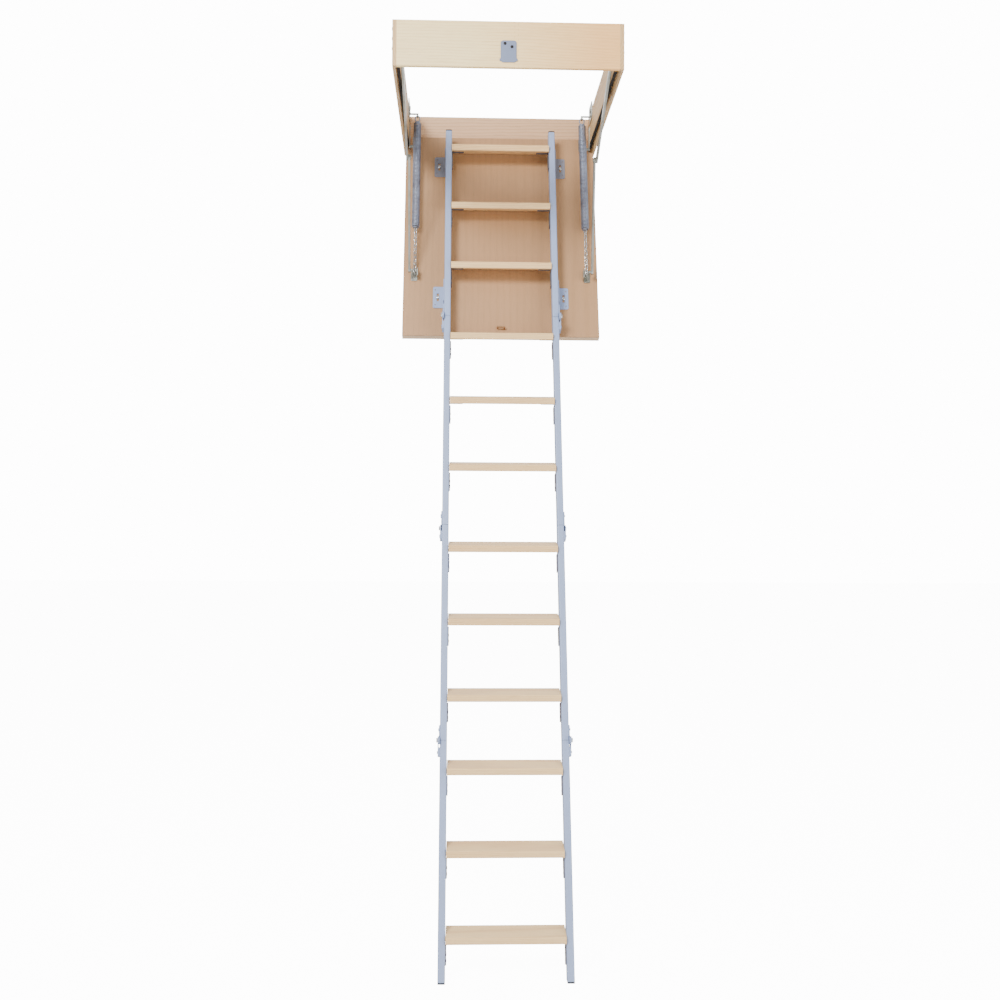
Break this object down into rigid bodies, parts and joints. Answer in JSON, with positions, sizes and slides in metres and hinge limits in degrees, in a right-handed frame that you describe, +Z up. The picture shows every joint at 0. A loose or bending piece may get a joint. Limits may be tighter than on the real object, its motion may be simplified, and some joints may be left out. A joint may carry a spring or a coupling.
{
  "type": "attic ladder",
  "caption": "Folding loft ladder with a wooden hatch frame, a sprung drop-down lid and hinged metal sections carrying wooden treads, standing open.",
  "frame": {"origin": "middle of the hatch opening, in the plane of the hatch frame's underside, which is the ceiling plane", "axes": "+X across the hatch to the right as seen by someone climbing, +Y from the front board, which carries the latch, to the rear board at the lid's hinge, +Z up"},
  "size_m": [0.703, 0.9716, 2.8408],
  "materials": {
    "frame_wood": "planed softwood, clear matt finish",
    "rubber_seal": "black foam rubber",
    "dark_fixings": "dark plated screws",
    "zinc_steel": "zinc plated, semi-matt",
    "lock_grey": "satin powder coat",
    "lid_panel": "plain veneered board, satin",
    "lid_core_wood": "sawn softwood battens",
    "insulation": "white rigid foam",
    "light_coated_steel": "light blue-grey powder coat",
    "grey_coated_steel": "mid-grey powder coat",
    "dark_coated_steel": "dark grey powder coat",
    "tread_wood": "planed pale pine, matt",
    "dark_rubber": "moulded, matt",
    "dark_plastic": "moulded, matt",
    "spring_steel": "oiled spring wire",
    "bright_steel": "bright zinc"
  },
  "bodies": {
    "hatch_frame": {"side_board_left": "frame_wood", "side_board_right": "frame_wood", "front_board": "frame_wood", "rear_board": "frame_wood", "lid_seal": "rubber_seal", "frame_corner_screws": "dark_fixings", "hinge_brackets": "zinc_steel", "spring_hangers": "zinc_steel", "stay_mounts": "zinc_steel", "lock_plate": "lock_grey", "lock_bolts": "dark_fixings", "latch_case": "zinc_steel"},
    "latch": {"latch_hook": "zinc_steel"},
    "lid": {"lid_lower_skin": "lid_panel", "lid_upper_skin": "lid_panel", "lid_battens": "lid_core_wood", "lid_insulation": "insulation", "lid_hinge_leaves": "zinc_steel", "lid_brackets_upper": "grey_coated_steel", "lid_brackets_lower": "light_coated_steel", "lid_bracket_screws": "zinc_steel", "lid_anchors": "zinc_steel", "latch_keeper": "zinc_steel", "stringer_1_left": "light_coated_steel", "stringer_1_right": "light_coated_steel", "tread_01": "tread_wood", "tread_02": "tread_wood", "tread_03": "tread_wood", "tread_brackets_1": "dark_coated_steel", "joint_1_bolts": "zinc_steel", "joint_plates_1": "grey_coated_steel", "top_caps": "dark_plastic"},
    "section_2": {"stringer_2_left": "light_coated_steel", "stringer_2_right": "light_coated_steel", "tread_04": "tread_wood", "tread_05": "tread_wood", "tread_06": "tread_wood", "tread_brackets_2": "dark_coated_steel", "joint_2_bolts": "zinc_steel", "joint_plates_2": "grey_coated_steel"},
    "section_3": {"stringer_3_left": "light_coated_steel", "stringer_3_right": "light_coated_steel", "tread_07": "tread_wood", "tread_08": "tread_wood", "tread_09": "tread_wood", "tread_brackets_3": "dark_coated_steel", "joint_3_bolts": "zinc_steel", "joint_plates_3": "grey_coated_steel"},
    "section_4": {"stringer_4_left": "light_coated_steel", "stringer_4_right": "light_coated_steel", "tread_10": "tread_wood", "tread_11": "tread_wood", "tread_12": "tread_wood", "tread_brackets_4": "dark_coated_steel", "joint_plates_4": "grey_coated_steel", "foot_shoes": "dark_rubber"},
    "upper_stay_arms": {"upper_stays": "zinc_steel"},
    "lower_stay_arms": {"lower_stays": "zinc_steel"},
    "spring_coils": {"springs": "spring_steel"},
    "spring_pull_rods": {"spring_rods": "bright_steel"}
  },
  "joints": [
    {"name": "lid_hinge", "type": "hinge", "parent": "hatch_frame", "child": "lid", "pos_m": [0, 0.363, 0.014], "axis": [1, 0, 0], "range_deg": [-50, 0]},
    {"name": "section_2_fold", "type": "hinge", "parent": "lid", "child": "section_2", "pos_m": [0, 0.06953, -0.65859], "axis": [1, 0, 0], "range_deg": [-147, 0]},
    {"name": "section_3_fold", "type": "hinge", "parent": "section_2", "child": "section_3", "pos_m": [0, -0.1065, -1.38485], "axis": [1, 0, 0], "range_deg": [0, 180.01]},
    {"name": "section_4_fold", "type": "hinge", "parent": "section_3", "child": "section_4", "pos_m": [0, -0.34827, -2.02515], "axis": [1, 0, 0], "range_deg": [-180.01, 0]},
    {"name": "upper_stay_pivot", "type": "hinge", "parent": "hatch_frame", "child": "upper_stay_arms", "pos_m": [0, -0.375, 0.11], "axis": [1, 0, 0], "range_deg": [0, 23]},
    {"name": "stay_knee", "type": "hinge", "parent": "upper_stay_arms", "child": "lower_stay_arms", "pos_m": [0, 0.085, -0.115], "axis": [1, 0, 0], "range_deg": [-88.8, 0]},
    {"name": "spring_swivel", "type": "hinge", "parent": "hatch_frame", "child": "spring_coils", "pos_m": [0, 0.345, 0.121], "axis": [1, 0, 0], "range_deg": [-43.8, 0]},
    {"name": "spring_extension", "type": "slide", "parent": "spring_coils", "child": "spring_pull_rods", "axis": [0, -0.2766, -0.961], "range_m": [-0.0638, 0]},
    {"name": "latch_turn", "type": "hinge", "parent": "hatch_frame", "child": "latch", "pos_m": [0, -0.39, 0.05], "axis": [1, 0, 0], "range_deg": [-20, 0]}
  ],
  "couplings": [
    {"joint": "section_3_fold", "follows": "section_2_fold", "ratio": -1.2245},
    {"joint": "section_4_fold", "follows": "section_2_fold", "ratio": 1.2245},
    {"joint": "upper_stay_pivot", "follows": "lid_hinge", "ratio": -0.45952},
    {"joint": "stay_knee", "follows": "lid_hinge", "ratio": 1.7747},
    {"joint": "spring_swivel", "follows": "lid_hinge", "ratio": 0.87463},
    {"joint": "spring_extension", "follows": "lid_hinge", "m_per_rad": 0.073008}
  ]
}
